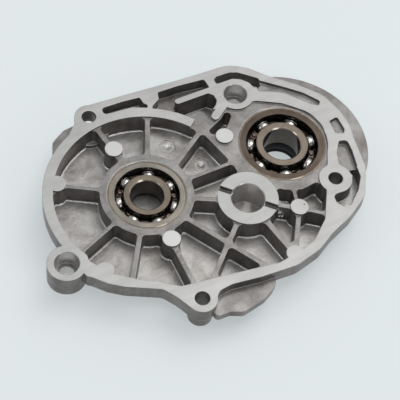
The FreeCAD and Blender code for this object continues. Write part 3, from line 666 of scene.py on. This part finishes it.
def rivet_material():
    shader = Shader("rivet_steel")
    film = shader.noise(scale=500, detail=3.0)
    colour = shader.ramp(film, (0.3, (0.07, 0.055, 0.048)), (0.7, (0.19, 0.16, 0.14)))
    normal = shader.bump(film, distance=0.02 * MM, strength=0.3, normal=shader.soft_edges(0.2 * MM))
    return shader.shading(colour, roughness=0.3, metallic=0.9, normal=normal)


def rubber_material():
    shader = Shader("seal_rubber")
    fine = shader.noise(scale=700, detail=3.0)
    colour = shader.ramp(fine, (0.3, (0.012, 0.013, 0.015)), (0.7, (0.03, 0.031, 0.034)))
    return shader.shading(colour, shader.spread(fine, low=0.42, high=0.58),
                          normal=shader.bump(fine, distance=0.03 * MM, strength=0.4))


def spring_material():
    """Coiled wire, shown by fine turns round the ring."""
    shader = Shader("spring_steel")
    x, y, _ = shader.axes()
    turns = shader.math("SINE", shader.times(shader.math("ARCTAN2", y, x), SPRING_TURNS))
    return shader.shading(SPRING_COLOUR, roughness=0.35, metallic=0.9,
                          normal=shader.bump(turns, distance=0.1 * MM, strength=0.8))


def burr_material():
    shader = Shader("burr")
    fine = shader.noise(scale=900, detail=3.0)
    colour = shader.ramp(fine, (0.3, (0.7, 0.69, 0.68)), (0.7, (0.95, 0.94, 0.93)))
    return shader.shading(colour, shader.spread(fine, low=0.18, high=0.4), metallic=0.95,
                          normal=shader.bump(fine, distance=0.1 * MM, strength=0.5))


# ---------------------------------------------------------------- the CAD nodes' looks


def give(node, material):
    """Puts a material on a CAD node."""
    target = frame["nodes"][node]
    if not target.material_slots:
        target.data.materials.append(material)
    for slot in target.material_slots:
        slot.material = material


def dress_nodes():
    ball, rivet = ball_material(), rivet_material()
    give("housing", Casting().finished())
    for prefix, centre in BEARINGS:
        for ring in (f"{prefix}_outer_ring", f"{prefix}_inner_ring"):
            give(ring, ring_material(ring, centre))
        for node in balls_of(prefix):
            give(node, ball)
        give(f"{prefix}_cage_rivets", rivet)
    give("axle_seal", rubber_material())
    give("axle_seal_spring", spring_material())


# ---------------------------------------------------------------- pieces of the scene's own

# the ribbon's facets for each ball and across its band, and its sizes
RIBBON_STEPS = 32
RIBBON_LANES = 8
# the band's width in ball radii
RIBBON_SHARE = 0.76
RIBBON_SHEET = 0.55 * MM
CUP_CLEARANCE = 0.15 * MM

# the burr lies here from the boss's middle, in mm, and its shards spread this far along each axis
BURR_PLACE = (9.7, -11.6, -0.7)
BURR_SPREAD = ((-1.0, 1.2), (-2.0, 0.7), (-1.8, 0.2))
BURR_SEED = 7
SHARDS = 16
# how far a shard's corners lie from its middle along each axis, in mm
SHARD_REACH = 0.7


def mesh_object(name, points, faces, material, body):
    """A smooth mesh piece that rides on a CAD body."""
    mesh = bpy.data.meshes.new(name)
    mesh.from_pydata([tuple(point) for point in points], [], faces)
    mesh.update()
    mesh.polygons.foreach_set("use_smooth", [True] * len(mesh.polygons))
    mesh.materials.append(material)
    obj = bpy.data.objects.new(name, mesh)
    bpy.context.collection.objects.link(obj)
    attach(obj, body)
    return obj


def ribbon_points(prefix, centre, side):
    """The ribbon's far skin and then its near one: flat between the balls, a cup over each."""
    balls = balls_of(prefix)
    first, ball = ball_of(balls[0])
    pitch = math.hypot(first.x - centre.x, first.y - centre.y)
    start = math.atan2(first.y - centre.y, first.x - centre.x)
    half_gap = math.pi / len(balls)
    steps = len(balls) * RIBBON_STEPS
    near_skin = ball + CUP_CLEARANCE
    points = []
    for skin, flat in ((near_skin + RIBBON_SHEET, RIBBON_SHEET), (near_skin, 0.0)):
        for step in range(steps):
            angle = 2 * math.pi * step / steps
            apart = (angle + half_gap) % (2 * half_gap) - half_gap
            along = 2 * pitch * math.sin(apart / 2)
            for lane in range(RIBBON_LANES + 1):
                off = RIBBON_SHARE * ball * (lane / RIBBON_LANES - 0.5)
                cup = math.sqrt(max(0.0, skin ** 2 - along ** 2 - off ** 2))
                reach = pitch + off
                points.append(Vector((centre.x + reach * math.cos(start + angle),
                                      centre.y + reach * math.sin(start + angle),
                                      first.z + side * max(cup, flat))))
    return points


def ribbon_faces(steps, side):
    """The faces of both skins and of the two rims that join them."""
    row = RIBBON_LANES + 1
    near = steps * row
    faces = []
    for step in range(steps):
        here, ahead = step * row, (step + 1) % steps * row
        for lane in range(RIBBON_LANES):
            faces.append((here + lane, here + lane + 1, ahead + lane + 1, ahead + lane))
            faces.append((near + here + lane, near + ahead + lane,
                          near + ahead + lane + 1, near + here + lane + 1))
        for rim in (0, RIBBON_LANES):
            faces.append((here + rim, ahead + rim, near + ahead + rim, near + here + rim))
    if side < 0:
        faces = [tuple(reversed(face)) for face in faces]
    return faces


def make_cage_half(prefix, centre, side, material):
    """One half of a bearing's ribbon cage, in place of the plainer CAD half."""
    half = "upper" if side > 0 else "lower"
    points = ribbon_points(prefix, centre, side)
    faces = ribbon_faces(len(balls_of(prefix)) * RIBBON_STEPS, side)
    ribbon = mesh_object(f"{prefix}_ribbon_{half}", points, faces, material, f"{prefix}_cage")
    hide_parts(f"{prefix}_cage_{half}")


def make_cages():
    for prefix, centre in BEARINGS:
        material = cage_material(prefix)
        for side in (1, -1):
            make_cage_half(prefix, centre, side, material)


def make_burr():
    """The shreds of metal that the cutter left where the oil groove leaves the boss."""
    random.seed(BURR_SEED)
    root = BOSS + Vector(BURR_PLACE) * MM
    points, faces = [], []
    for _ in range(SHARDS):
        middle = root + Vector([random.uniform(low, high) for low, high in BURR_SPREAD]) * MM
        a, b, c, d = range(len(points), len(points) + 4)
        for _ in range(4):
            offset = [random.uniform(-SHARD_REACH, SHARD_REACH) for _ in range(3)]
            points.append(middle + Vector(offset) * MM)
        faces += [(a, b, c), (a, d, b), (a, c, d), (b, d, c)]
    burr = mesh_object("groove_burr", points, faces, burr_material(), "casing")


# ---------------------------------------------------------------- the scene

make_camera()
make_floor()
for lamp in LAMPS:
    make_lamp(*lamp)
make_room()
dress_nodes()
make_cages()
make_burr()
bpy.context.scene.view_settings.view_transform = "Standard"
